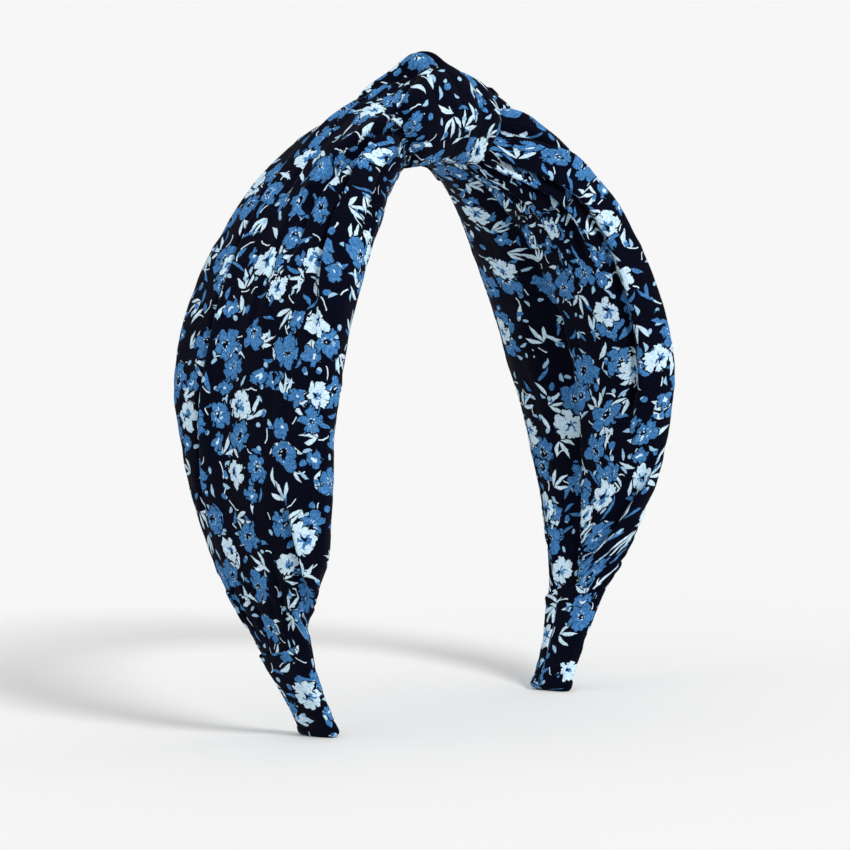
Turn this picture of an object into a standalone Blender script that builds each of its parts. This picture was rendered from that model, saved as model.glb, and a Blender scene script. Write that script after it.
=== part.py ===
"""Knotted headband, standing on its two tips.

A thin moulded band bends from tip to tip over the crown. A wide cloth drape is gathered onto each arm:
it is bunched at the crown, fans out over the outer face, rolls round both edges and is tucked into a
short sleeve at the tip. A flat cloth facing closes it on the inner face, behind the furrow where the
drape's front roll ends. A cloth wrap is knotted round the bunched ends at the crown.

Units are metres and +Z is up. X runs from the left arm to the right arm, and -Y is the front edge.
The origin is on the floor, midway between the tips. The moulded band is one springy piece; here it
is parted beside the knot, at the two places where the arms bend open.
"""

import math

import bmesh
import bpy
import numpy as np

MM = 0.001

# The band's middle surface, seen from the front.
CROWN_HEIGHT = 147 * MM
HALF_SPAN = 63.5 * MM
WIDEST_HEIGHT = 66 * MM
BEND_RADIUS = 115 * MM
TIP_ANGLE = math.radians(27)

# The moulded band.
BAND_HALF_WIDTH = 7.5 * MM
BAND_TIP_HALF_WIDTH = 4.6 * MM
BAND_HALF_THICKNESS = 1.2 * MM
BAND_TIP_HALF_THICKNESS = 0.9 * MM
BAND_END_ABOVE_FLOOR = 1.6 * MM

# Cloth and clearances.
GAP = 0.3 * MM
CLOTH = 0.6 * MM
FACING_CLOTH = 0.5 * MM
THREAD_RADIUS = 0.3 * MM

# Where the arms bend open, and how far the drape keeps clear of the knot as they do.
BEND_AT = 22 * MM
OPENING_WEDGE = math.tan(math.radians(14))
CLOSING_WEDGE = math.tan(math.radians(6))

# The tip sleeve.
SLEEVE_LENGTH = 27 * MM
TUCK = 4 * MM
SLEEVE_HALF_WIDTH = 6.5 * MM
SLEEVE_HALF_THICKNESS = 2.5 * MM

# The knot's wrap: its half width along the band at the bottom, at the sides and at the top.
WRAP_HALF_BOTTOM = 9 * MM
WRAP_HALF_SIDE = 14.5 * MM
WRAP_HALF_TOP = 6.0 * MM
WRAP_THICK_BOTTOM = 1.0 * MM
WRAP_THICK_SIDE = 3.0 * MM
WRAP_THICK_TOP = 6.0 * MM
WRAP_SLANT = 3.5 * MM

# The cloth's section down the arm, in millimetres: distance from the crown, half width in front and
# behind, height of the outer face at its middle and at its edges, depth of the front and back flaps
# on the inner face and of the seam between the flaps, and how far the outer face leans to the front.
# Heights are above the band's middle surface.
CLOTH_PROFILE = (
    (0, 13.0, 10.0, 16.6, 1.8, -3.7, -3.7, -3.6, 3.0),
    (16, 14.5, 11.5, 15.8, 2.6, -3.8, -3.8, -3.6, 3.0),
    (24, 20.0, 16.5, 14.4, 5.8, -4.0, -4.6, -3.3, 2.5),
    (40, 25.5, 22.0, 12.4, 6.4, -4.2, -6.0, -3.0, 1.0),
    (62, 27.0, 25.8, 10.5, 4.6, -4.4, -7.0, -3.0, 0.0),
    (87, 27.2, 27.2, 8.8, 3.6, -4.8, -7.0, -3.0, 0.0),
    (108, 26.6, 23.5, 7.6, 2.6, -4.8, -6.2, -3.0, 0.0),
    (128, 23.5, 17.5, 6.6, 1.8, -4.6, -5.0, -3.0, 0.0),
    (151, 11.5, 10.5, 4.4, 0.8, -3.6, -3.8, -2.9, 0.0),
    (156, 7.4, 7.4, 3.2, 0.2, -3.0, -3.0, -2.9, 0.0),
    (190, 7.4, 7.4, 3.2, 0.2, -3.0, -3.0, -2.9, 0.0),
)
SEAM_WIDTH = 4.5 * MM

# The drape's lips on the inner face: where the front roll ends, and how far the back edge turns in.
FRONT_LIP = -1.0 * MM
BACK_LIP = 6.0 * MM
FACING_SHORT_OF_EDGE = 4.0 * MM

CLOTH_SIDES = 36
BAND_SIDES = 12


# ---------------------------------------------------------------- the band's route

def route_points():
    """Points down the right arm's middle line, from the crown to the floor, in X and Z."""
    turn = np.linspace(math.pi / 2, 0, 160)
    arch = np.stack([HALF_SPAN * np.cos(turn),
                     WIDEST_HEIGHT + (CROWN_HEIGHT - WIDEST_HEIGHT) * np.sin(turn)], axis=1)
    turn = np.linspace(0, TIP_ANGLE, 60)[1:]
    bend = np.stack([HALF_SPAN - BEND_RADIUS * (1 - np.cos(turn)),
                     WIDEST_HEIGHT - BEND_RADIUS * np.sin(turn)], axis=1)
    left = bend[-1, 1]
    foot = bend[-1] - np.array([left * math.tan(TIP_ANGLE), left])
    return np.vstack([arch, bend, foot])


ROUTE = route_points()
ROUTE_AT = np.concatenate([[0], np.cumsum(np.linalg.norm(np.diff(ROUTE, axis=0), axis=1))])
ROUTE_LENGTH = float(ROUTE_AT[-1])


def on_route(at):
    """The place and the downward direction of the right arm's middle line, at a distance."""
    step = 0.4 * MM
    place = np.array([np.interp(abs(at), ROUTE_AT, ROUTE[:, k]) for k in (0, 1)])
    before, after = max(abs(at) - step, 0), min(abs(at) + step, ROUTE_LENGTH)
    along = np.array([np.interp(after, ROUTE_AT, ROUTE[:, k]) - np.interp(before, ROUTE_AT, ROUTE[:, k])
                      for k in (0, 1)])
    if at < 0:
        place[0], along[1] = -place[0], -along[1]
    return place, along / np.linalg.norm(along)


def point(side, at, y, height):
    """A point beside the band: at a distance from the crown, y behind its middle, height above it."""
    (x, z), (down_x, down_z) = on_route(at)
    return side * (x - height * down_z), y, z + height * down_x


# ---------------------------------------------------------------- sections

def smooth_through(rows, at):
    """The profile's row at a distance: a curve through its rows that doesn't overshoot them."""
    table = np.array(rows, float) * MM
    xs = table[:, 0]
    i = int(np.clip(np.searchsorted(xs, at) - 1, 0, len(xs) - 2))
    slopes = np.diff(table, axis=0) / np.diff(xs)[:, None]

    def tangent(k):
        if k in (0, len(xs) - 1):
            return np.zeros(table.shape[1])
        before, after = slopes[k - 1], slopes[k]
        same = before * after > 0
        safe = np.where(same, before + after, 1)
        return np.where(same, 2 * before * after / safe, 0)

    step = xs[i + 1] - xs[i]
    t = float(np.clip((at - xs[i]) / step, 0, 1))
    return ((2 * t**3 - 3 * t**2 + 1) * table[i] + (t**3 - 2 * t**2 + t) * step * tangent(i)
            + (3 * t**2 - 2 * t**3) * table[i + 1] + (t**3 - t**2) * step * tangent(i + 1))[1:]


def cloth_section(at, outward=0.0):
    """The gathered cloth's outline round the band, as (y, height) pairs, grown outward by a little.

    It runs from the front edge over the outer face to the back edge, and returns by the inner face,
    where two flaps meet at the seam."""
    front, back, top, edge, front_flap, back_flap, seam, lean = smooth_through(CLOTH_PROFILE, abs(at))
    pairs = []
    for k in range(CLOTH_SIDES):
        turn = 2 * math.pi * k / CLOTH_SIDES
        c, s = math.cos(turn), math.sin(turn)
        y = -(front if c > 0 else back) * c
        if s >= 0:
            height = edge + (top - edge) * s
            y -= lean * s
        else:
            flap = front_flap if c > 0 else back_flap
            fold = math.exp(-((y / SEAM_WIDTH) ** 2))
            low = flap + (seam - flap) * fold
            height = edge + (low - edge) * (1 - c**6) ** 0.5
        pairs.append((y, height))
    if not outward:
        return pairs
    grown = []
    for k, (y, height) in enumerate(pairs):
        ahead, behind = pairs[(k + 1) % CLOTH_SIDES], pairs[k - 1]
        along = np.array([ahead[0] - behind[0], ahead[1] - behind[1]])
        along /= np.linalg.norm(along)
        grown.append((y - outward * along[1], height + outward * along[0]))
    return grown


def plate_section(half_width, half_thickness, sides=BAND_SIDES):
    """A flat bar's outline with round edges, as (y, height) pairs."""
    pairs = []
    for k in range(sides):
        turn = 2 * math.pi * (k + 0.5) / sides
        c, s = math.cos(turn), math.sin(turn)
        flat = half_width - half_thickness
        pairs.append((-math.copysign(flat, c) - half_thickness * c, half_thickness * s))
    return pairs


def band_size(at):
    """The moulded band's half width and half thickness at a distance from the crown."""
    share = min(max((abs(at) - BEND_AT) / (ROUTE_LENGTH - BEND_AT), 0), 1)
    ease = share * share
    return (BAND_HALF_WIDTH + (BAND_TIP_HALF_WIDTH - BAND_HALF_WIDTH) * ease,
            BAND_HALF_THICKNESS + (BAND_TIP_HALF_THICKNESS - BAND_HALF_THICKNESS) * ease)


# ---------------------------------------------------------------- building

def make_material(name, colour, roughness):
    material = bpy.data.materials.new(name)
    material.use_nodes = True
    shader = material.node_tree.nodes["Principled BSDF"]
    shader.inputs["Base Color"].default_value = (*colour, 1)
    shader.inputs["Roughness"].default_value = roughness
    shader.inputs["Metallic"].default_value = 0
    return material


def add_object(name, bm, material):
    """A bmesh as a named object with its own material, faces out and shaded smooth."""
    bmesh.ops.recalc_face_normals(bm, faces=bm.faces)
    mesh = bpy.data.meshes.new(name)
    bm.to_mesh(mesh)
    bm.free()
    mesh.materials.append(material)
    mesh.shade_smooth()
    mesh.set_sharp_from_angle(angle=math.radians(50))
    made = bpy.data.objects.new(name, mesh)
    bpy.context.scene.collection.objects.link(made)
    return made


def skin(bm, rings, closed=False, open_rings=False):
    """Faces between neighbouring rings of points, and the last with the first if closed."""
    rows = [[bm.verts.new(p) for p in ring] for ring in rings]
    pairs = list(zip(rows, rows[1:], strict=False))
    if closed:
        pairs.append((rows[-1], rows[0]))
    for a, b in pairs:
        for k in range(len(a) - (1 if open_rings else 0)):
            after = (k + 1) % len(a)
            bm.faces.new((a[k], a[after], b[after], b[k]))
    return rows


def solid_bar(name, rings, material):
    """A solid skinned over rings and capped at both ends."""
    bm = bmesh.new()
    rows = skin(bm, rings)
    bm.faces.new(rows[0])
    bm.faces.new(reversed(rows[-1]))
    return add_object(name, bm, material)


def solid_collar(name, outer, inner, material):
    """A solid between outer and inner rings, with a hole along it."""
    bm = bmesh.new()
    skin(bm, outer + inner[::-1], closed=True)
    return add_object(name, bm, material)


def cloth_wall(name, rings, thickness, material, close_end=False, open_rings=False):
    """A cloth wall of that thickness inside rings of points, open at its ends unless closed at the last."""
    bm = bmesh.new()
    rows = skin(bm, rings, open_rings=open_rings)
    if close_end:
        bm.faces.new(rows[-1])
    made = add_object(name, bm, material)
    wall = made.modifiers.new("Cloth", "SOLIDIFY")
    wall.thickness = thickness
    wall.offset = -1
    wall.use_even_offset = True
    wall.use_rim = True
    return made


def distances(start, end, most):
    """Evenly spaced distances from start to end, at most that far apart."""
    return np.linspace(start, end, max(2, math.ceil(abs(end - start) / most) + 1))


def ring_at(side, at, pairs):
    return [point(side, at, y, height) for y, height in pairs]


def level_ring(side, at, pairs):
    """A ring slid along the arm's tip until all of it lies on the floor."""
    _, (down_x, down_z) = on_route(at)
    level = []
    for x, y, z in ring_at(side, at, pairs):
        slide = -z / down_z
        level.append((x + side * slide * down_x, y, 0.0))
    return level


# ---------------------------------------------------------------- pieces

def band_crown(material):
    rings = [ring_at(1, at, plate_section(*band_size(at)))
             for at in distances(-BEND_AT + GAP / 2, BEND_AT - GAP / 2, 3 * MM)]
    return solid_bar("band_crown", rings, material)


def band_arm(label, side, material):
    """One arm of the moulded band, from the bend beside the knot to its rounded tip."""
    end = ROUTE_LENGTH - BAND_END_ABOVE_FLOOR / math.cos(TIP_ANGLE)
    rings = [ring_at(side, at, plate_section(*band_size(at)))
             for at in distances(BEND_AT + GAP / 2, end - BAND_TIP_HALF_WIDTH, 5 * MM)]
    for back in (0.45, 0.15, 0.0):
        width, thickness = band_size(end)
        rounded = width * math.sqrt(1 - (1 - back) ** 2 * 0.7)
        rings.append(ring_at(side, end - back * BAND_TIP_HALF_WIDTH, plate_section(rounded, thickness)))
    return solid_bar(f"band_arm_{label}", rings, material)


def facing_crown(material):
    """The facing's middle, flat under the band where it passes through the knot."""
    top = -BAND_HALF_THICKNESS - GAP
    wide = BAND_HALF_WIDTH - BAND_HALF_THICKNESS
    pairs = [(-wide, top), (wide, top), (wide, top - FACING_CLOTH), (-wide, top - FACING_CLOTH)]
    rings = [ring_at(1, at, pairs) for at in distances(-BEND_AT + GAP / 2, BEND_AT - GAP / 2, 4 * MM)]
    return solid_bar("facing_crown", rings, material)


def facing_section(at):
    """The facing's outline: a thin strip just above the inner face, from the furrow to the back edge."""
    outer = cloth_section(at)
    back = max(y for y, _ in outer)
    inner_face = sorted(outer[CLOTH_SIDES // 2:] + outer[:1])
    ys = np.linspace(2 * FRONT_LIP, back - FACING_SHORT_OF_EDGE, 9)
    lift = CLOTH + 2 * GAP
    lows = np.interp(ys, [y for y, _ in inner_face], [height for _, height in inner_face]) + lift
    lows = np.minimum(lows, -BAND_HALF_THICKNESS - GAP - FACING_CLOTH)
    under = list(zip(ys, lows, strict=True))
    over = [(y, low + FACING_CLOTH) for y, low in under]
    return under + over[::-1]


def facing_arm(label, side, material):
    """The flat strip that closes one arm's inner face, from the bend beside the knot into the sleeve."""
    end = ROUTE_LENGTH - SLEEVE_LENGTH + TUCK
    rings = [ring_at(side, at, facing_section(at)) for at in distances(BEND_AT + 1.5 * MM, end, 5 * MM)]
    return solid_bar(f"facing_{label}", rings, material)


def drape_section(at):
    """The drape's outline: the cloth's, from the front lip in the furrow round to the back lip."""
    outer = cloth_section(at)
    half = CLOTH_SIDES // 2
    inner_face = sorted(outer[half:] + outer[:1])
    ys, heights = zip(*inner_face, strict=True)
    front = [(y, float(np.interp(y, ys, heights))) for y in np.linspace(FRONT_LIP, ys[0], 9)[:-1]]
    lip = max(ys[-1] - BACK_LIP, 0.4 * ys[-1])
    back = [(y, float(np.interp(y, ys, heights))) for y in np.linspace(ys[-1], lip, 5)[1:]]
    return front + outer[:half + 1] + back


def drape(label, side, material):
    """The wide cloth on one arm. Its upper end leans away from the knot, to let the arm bend."""
    end = ROUTE_LENGTH - SLEEVE_LENGTH + TUCK
    rings = []
    for share in np.linspace(0, 1, 27):
        nominal = BEND_AT + share * (end - BEND_AT)
        ring = []
        for y, height in drape_section(nominal):
            above = height - BAND_HALF_THICKNESS
            lean = max(above * OPENING_WEDGE, -above * CLOSING_WEDGE)
            start = BEND_AT + GAP + lean
            ring.append(point(side, start + share * (end - start), y, height))
        rings.append(ring)
    return cloth_wall(f"drape_{label}", rings, CLOTH, material, open_rings=True)


def knot_gather(label, side, material):
    """The bunched end of one drape, round the band under the knot."""
    ats = [GAP / 2, 6 * MM, 12 * MM, 17 * MM, 19.5 * MM, BEND_AT - GAP / 2]
    outer = [ring_at(side, at, cloth_section(at)) for at in ats]
    hole = []
    for at in ats:
        width, thickness = band_size(at)
        clear = 2 * GAP + FACING_CLOTH
        pairs = plate_section(width + clear, thickness + clear, CLOTH_SIDES)
        hole.append(ring_at(side, at, pairs))
    return solid_collar(f"knot_gather_{label}", outer, hole, material)


def knot_wrap(material):
    """The cloth wrapped round the bunched ends: broad in front and behind, pinched at the top."""
    base = cloth_section(0, GAP)
    top = max(height for _, height in base)
    low = min(height for _, height in base)
    rings = []
    for k, (y, height) in enumerate(base):
        ahead, behind = base[(k + 1) % CLOTH_SIDES], base[k - 1]
        along = np.array([ahead[0] - behind[0], ahead[1] - behind[1]])
        along /= np.linalg.norm(along)
        out_y, out_height = -along[1], along[0]
        up = (height - low) / (top - low)
        side_share = math.sin(math.pi * min(up, 1)) ** 0.7
        ends = (1 - up) * WRAP_HALF_BOTTOM + up * WRAP_HALF_TOP
        half = ends + (WRAP_HALF_SIDE - min(WRAP_HALF_BOTTOM, WRAP_HALF_TOP)) * side_share
        thick = (WRAP_THICK_BOTTOM + (WRAP_THICK_SIDE - WRAP_THICK_BOTTOM) * min(1, 2 * up)
                 + (WRAP_THICK_TOP - WRAP_THICK_SIDE) * max(0, 2 * up - 1) ** 2)
        slant = WRAP_SLANT * y / BAND_HALF_WIDTH * (1 - up)
        outside, inside = [], []
        for share in np.linspace(-1, 1, 11):
            bulge = CLOTH + (thick - CLOTH) * math.sqrt(max(0, 1 - share * share))
            at = slant + share * half
            y, height = cloth_section(at, GAP)[k]
            outside.append(point(1, at, y + out_y * bulge, height + out_height * bulge))
            inside.append(point(1, at, y, height))
        rings.append(outside + inside[::-1])
    bm = bmesh.new()
    skin(bm, rings, closed=True)
    return add_object("knot_wrap", bm, material)


def sleeve(label, side, material):
    """The cloth pocket on one tip. Its mouth holds the drape's tucked end, and its foot is level."""
    mouth = ROUTE_LENGTH - SLEEVE_LENGTH
    grown = GAP + CLOTH
    rings = []
    for at in distances(mouth, mouth + TUCK + GAP, 2.2 * MM):
        rings.append(ring_at(side, at, cloth_section(ROUTE_LENGTH, grown)))
    waist = mouth + TUCK + 4 * MM
    foot = ROUTE_LENGTH

    def plate(width, thickness):
        turns = [2 * math.pi * k / CLOTH_SIDES for k in range(CLOTH_SIDES)]
        return [(-width * math.copysign(abs(math.cos(t)) ** 0.75, math.cos(t)),
                 thickness * math.copysign(abs(math.sin(t)) ** 0.5, math.sin(t))) for t in turns]

    for at in distances(waist, foot - 4 * MM, 5 * MM):
        rings.append(ring_at(side, at, plate(SLEEVE_HALF_WIDTH, SLEEVE_HALF_THICKNESS)))
    for back, wide, thick in ((2.2, 1.03, 1.06), (1.7, 0.97, 1.0)):
        rings.append(ring_at(side, foot - back * MM,
                             plate(SLEEVE_HALF_WIDTH * wide, SLEEVE_HALF_THICKNESS * thick)))
    rings.append(level_ring(side, foot, plate(SLEEVE_HALF_WIDTH * 0.86, SLEEVE_HALF_THICKNESS * 0.86)))
    return cloth_wall(f"tip_sleeve_{label}", rings, CLOTH, material, close_end=True)


def thread(name, points, material):
    """A thread laid through points, as a thin curve with closed ends."""
    curve = bpy.data.curves.new(name, "CURVE")
    curve.dimensions = "3D"
    curve.bevel_depth = THREAD_RADIUS
    curve.bevel_resolution = 1
    curve.use_fill_caps = True
    spline = curve.splines.new("POLY")
    spline.points.add(len(points) - 1)
    for place, p in zip(spline.points, points, strict=True):
        place.co = (*p, 1)
    curve.materials.append(material)
    made = bpy.data.objects.new(name, curve)
    bpy.context.scene.collection.objects.link(made)
    return made


def seam_thread(label, side, material):
    """The thread that closes the drape's two flaps, in the furrow between them."""
    points = []
    for at in distances(32 * MM, ROUTE_LENGTH - SLEEVE_LENGTH - 3 * MM, 3 * MM):
        seam = smooth_through(CLOTH_PROFILE, at)[-2]
        points.append(point(side, at, 0, seam - GAP - THREAD_RADIUS))
    return thread(f"seam_thread_{label}", points, material)


def knot_tack(label, y, material):
    """A stitch under the knot that holds the wrap closed."""
    low = min(height for _, height in cloth_section(0, GAP)) - WRAP_THICK_BOTTOM
    points = [point(1, at, y, low - GAP - THREAD_RADIUS) for at in distances(-3 * MM, 3 * MM, 2 * MM)]
    return thread(f"knot_tack_{label}", points, material)


def clear_scene():
    for obj in list(bpy.data.objects):
        bpy.data.objects.remove(obj, do_unlink=True)


def main():
    clear_scene()
    plastic = make_material("band_plastic", (0.03, 0.03, 0.035), 0.45)
    cotton = make_material("printed_cotton", (0.05, 0.09, 0.20), 0.85)
    lining = make_material("facing_cotton", (0.05, 0.09, 0.20), 0.88)
    stitch = make_material("sewing_thread", (0.02, 0.02, 0.04), 0.7)
    band_crown(plastic)
    facing_crown(lining)
    knot_wrap(cotton)
    for label, y in (("front", -5 * MM), ("back", 5 * MM)):
        knot_tack(label, y, stitch)
    for label, side in (("left", -1), ("right", 1)):
        band_arm(label, side, plastic)
        facing_arm(label, side, lining)
        knot_gather(label, side, cotton)
        drape(label, side, cotton)
        sleeve(label, side, cotton)
        seam_thread(label, side, stitch)


main()
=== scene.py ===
"""The knotted headband's looks: real cloth surfaces and a woven floral print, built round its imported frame.

Lengths are in metres unless a name or a comment says millimetres. Each cloth piece carries a UV map named
"cloth", in metres of flat cloth, and the print and the weave follow that.
"""

import math

import bpy
import numpy as np
from mathutils import Matrix, Vector


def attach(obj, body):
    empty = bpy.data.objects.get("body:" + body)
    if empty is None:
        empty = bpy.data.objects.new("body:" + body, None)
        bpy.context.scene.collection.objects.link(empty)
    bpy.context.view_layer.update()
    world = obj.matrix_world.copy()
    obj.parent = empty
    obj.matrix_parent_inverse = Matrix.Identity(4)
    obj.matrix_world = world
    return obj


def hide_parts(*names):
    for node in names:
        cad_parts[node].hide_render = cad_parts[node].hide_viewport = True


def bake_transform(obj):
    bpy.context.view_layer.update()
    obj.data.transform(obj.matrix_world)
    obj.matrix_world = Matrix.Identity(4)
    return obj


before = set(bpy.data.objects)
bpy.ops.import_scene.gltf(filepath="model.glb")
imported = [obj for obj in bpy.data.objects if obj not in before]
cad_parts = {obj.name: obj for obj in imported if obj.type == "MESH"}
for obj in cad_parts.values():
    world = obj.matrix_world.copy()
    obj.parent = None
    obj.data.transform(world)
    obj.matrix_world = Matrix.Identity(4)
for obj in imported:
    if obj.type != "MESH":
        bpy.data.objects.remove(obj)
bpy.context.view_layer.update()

MM = 0.001


# ---- sizes

# The band's middle surface.
CROWN_HEIGHT = 147 * MM
HALF_SPAN = 63.5 * MM
WIDEST_HEIGHT = 66 * MM
BEND_RADIUS = 115 * MM
TIP_ANGLE = math.radians(27)

CLOTH_WIDTH = 122 * MM
SLEEVE_LENGTH = 27 * MM
TUCKED_IN = 3 * MM

DRAPE_START = 1.5 * MM
DRAPE_ROWS = 250
DRAPE_COLUMNS = 400

# The cloth's section down the arm, in millimetres: distance from the crown, half width in front and behind,
# height of the outer face at its middle and at its edges, then of the inner face at the front roll, the back
# flap and the furrow between them, and how far the outer face leans to the front.
CLOTH_PROFILE = (
    (0, 10.8, 9.6, 20.2, 2.6, -2.6, -2.6, -2.3, 3.0),
    (8, 11.4, 11.4, 18.5, 3.0, -2.7, -2.6, -2.3, 3.0),
    (16, 13.2, 14.2, 15.8, 4.0, -4.4, -3.8, -2.6, 3.0),
    (24, 18.8, 17.6, 12.9, 5.4, -5.8, -4.8, -2.4, 2.5),
    (40, 25.0, 22.0, 10.0, 5.2, -7.8, -5.6, -2.3, 1.0),
    (62, 27.0, 25.6, 9.5, 4.3, -8.6, -5.8, -2.3, 0.0),
    (87, 27.4, 27.0, 8.8, 3.4, -8.6, -5.8, -2.3, 0.0),
    (108, 26.4, 23.5, 7.6, 2.4, -7.8, -5.4, -2.3, 0.0),
    (128, 22.5, 18.0, 6.6, 1.8, -6.2, -5.2, -2.3, 0.0),
    (145, 13.4, 12.6, 4.9, 1.2, -4.8, -4.2, -2.4, 0.0),
    (153, 9.6, 9.8, 3.7, 0.6, -3.6, -3.4, -2.6, 0.0),
    (162, 7.6, 7.8, 2.9, 0.3, -2.7, -2.7, -2.5, 0.0),
    (171, 6.3, 6.3, 2.4, 0.2, -2.3, -2.3, -2.2, 0.0),
    (190, 5.7, 5.7, 2.1, 0.2, -2.1, -2.1, -2.0, 0.0),
)
FURROW_AT = -1.5 * MM
SEAM_AT = -1.3 * MM
TACK_BELOW = 1.2 * MM
LIP_ROUND = 2.8 * MM
FLAP_ROUND = 12.0 * MM

# How each arm's cloth differs from the profile: distance from the crown in millimetres, then factors on the
# half widths of the left arm in front and behind, and of the right arm in front and behind.
ARM_WIDTHS = (
    (0, 1.00, 1.00, 1.00, 1.00),
    (16, 0.86, 1.00, 0.94, 1.00),
    (30, 0.77, 1.00, 0.94, 1.00),
    (42, 0.87, 1.00, 0.97, 1.04),
    (62, 0.96, 1.00, 1.00, 1.08),
    (84, 1.00, 1.00, 1.04, 1.02),
    (100, 0.99, 1.00, 1.04, 1.00),
    (116, 1.02, 1.00, 0.95, 0.98),
    (132, 1.05, 1.00, 0.86, 0.92),
    (148, 0.94, 1.00, 1.04, 0.90),
    (158, 1.00, 1.00, 1.00, 1.00),
    (190, 1.00, 1.00, 1.00, 1.00),
)

# The groove round the knot, where the wrap draws the bunched cloth in.
GROOVE_BESIDE = 0.6 * MM
GROOVE_WIDTH = 2.2 * MM
GROOVE_DEPTH = 1.8 * MM
# How much fuller the right arm's cloth stands beside the knot.
SHOULDER = 1.6 * MM

# The wrap lies outside the bunched ends, so it is longer round than they are.
WRAP_LONGER_BY = 1.2
# How far from the crown the wrap is worked out, where it gathers on its way up, how far its cloth goes past
# its edge and how deep it is tucked there, and its creases, each with its place across and its depth in mm.
WRAP_FARTHEST = 17 * MM
WRAP_GATHERS = (0.80, 1.0)
WRAP_PAST_EDGE = 1.06
WRAP_TUCK = 2.4 * MM
WRAP_CREASES = ((-0.50, 1.2), (-0.05, 0.9), (0.42, 1.3))

# How far the facing reaches under the front lip, ends and turns in before the back edge, how deep it turns,
# and how far it stands proud.
FACING_UNDER_LIP = 3.0 * MM
FACING_INSET = 0.8 * MM
FACING_TURN = 2.4 * MM
FACING_TURN_DEPTH = 1.0 * MM
FACING_PROUD = 0.3 * MM

# How far the sleeve stands off the drape's tucked end, its lap's angle and height, where its hem is stitched
# and its end rounds off, as shares of its length, and how deep the stitching draws in.
SLEEVE_PROUD = 0.16 * MM
SLEEVE_LAP_AT = math.radians(70)
SLEEVE_LAP = 0.55 * MM
SLEEVE_HEM_AT = 0.86
SLEEVE_ROUND_FROM = 0.94
SLEEVE_HEM_DEPTH = 0.22 * MM

# How much cloth a fold hides, in depths, and how far its line strays over what length, in mm.
HIDDEN_IN_FOLD = 2.2
FOLD_STRAYS = 1.6
STRAY_OVER = 184
# How broad a fold's edge is where it stands and how much broader where it rises or fades, in mm, and the dip
# before it, as a share of the fold's depth and in mm.
FOLD_EDGE = 0.5
FOLD_SOFTER = 1.4
DIP_SHARE = 0.95
DIP_WIDTH = 1.3
# Above this distance from the crown the cloth's outline is shorter than this, and the print is squeezed.
GATHERED_TO = 40 * MM
SQUEEZED_BELOW = 90 * MM
# Towards the tip the outline is shorter than this, and part of the difference squeezes the print.
DRAWN_IN_BELOW = 110 * MM
DRAWN_IN = 0.5
MEASURED_FROM = 90 * MM
# Where the gathers' print loosens, and how much closer it lies in the front roll.
GATHERS_FADE = (30 * MM, 95 * MM)
ROLL_CLOSER = 0.9
ROLL_SHARE = (0.18, 0.34)

# Where things start and are full down the arm, and for the last three, where they fade and are gone.
KNOT_LETS_GO = (12 * MM, 23 * MM)
PLEATS_FADE = (11 * MM, 30 * MM)
INTO_GATHERS = (126 * MM, 144 * MM)
INTO_SLEEVE = (146 * MM, 156 * MM)
SHOULDER_STRETCH = (7 * MM, 13 * MM, 16 * MM, 25 * MM)
DRAPE_SLACK = (20 * MM, 60 * MM, 130 * MM, 152 * MM)
FACING_SLACK = (10 * MM, 50 * MM, 130 * MM, 155 * MM)

# The small pleats beside the knot and the gathers at the sleeve.
PLEAT_PITCH = 6.6 * MM
PLEAT_DEPTH = 0.75 * MM
TIP_GATHER_PITCH = 5.2 * MM
TIP_GATHER_DEPTH = 0.4 * MM
# The depth of the cloth's slack and crumple.
BROAD_SLACK = 0.55 * MM
LONG_SLACK = 0.5 * MM
CRUMPLE = 0.20 * MM
FINE_CRUMPLE = 0.06 * MM

# Folds in a drape, each with its place across the flat cloth where it starts and ends, the distances from the
# crown where it rises, stands, fades and is gone, its depth, and how wide its back slopes away.
LEFT_FOLDS = (
    (-29, -3, 2, 6, 28, 56, 4.8, 14),
    (-21, -25, 2, 6, 40, 84, 3.8, -6),
    (-34, -37, 2, 6, 32, 62, 3.0, -5),
    (-12, -10, 28, 34, 44, 66, 1.5, -5),
    (-56, -54, 2, 6, 20, 50, 1.3, 5),
    (-2, -1, 46, 56, 66, 88, 0.6, 7),
    (4, 1, 2, 6, 24, 56, 1.3, -7),
    (15, 12, 2, 10, 104, 130, 1.9, -6),
    (28, 27, 2, 8, 26, 60, 1.6, -6),
    (45, 44, 2, 8, 22, 60, 1.2, 5),
    (-16, -15, 112, 124, 142, 156, 1.9, -3),
    (-8, -7, 124, 136, 148, 158, 0.8, 3),
)
RIGHT_FOLDS = (
    (-57, -59, 2, 6, 26, 48, 1.9, 4),
    (-50, -47, 2, 6, 36, 68, 2.7, 5),
    (-43, -37, 2, 8, 96, 116, 2.4, 5),
    (-32, -31, 2, 6, 24, 44, 2.2, -6),
    (-20, -24, 2, 6, 26, 62, 2.6, -6),
    (-9, -2, 2, 6, 22, 50, 2.6, 13),
    (6, 4, 2, 6, 16, 34, 1.0, 7),
    (17, 13, 2, 10, 100, 124, 1.7, -6),
    (32, 30, 2, 8, 20, 46, 1.6, -6),
    (46, 44, 2, 8, 22, 60, 1.2, 5),
    (-27, -21, 116, 128, 142, 154, 2.2, 3),
    (-14, -11, 122, 134, 146, 157, 1.0, 3),
)


# ---- the band's route

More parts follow.
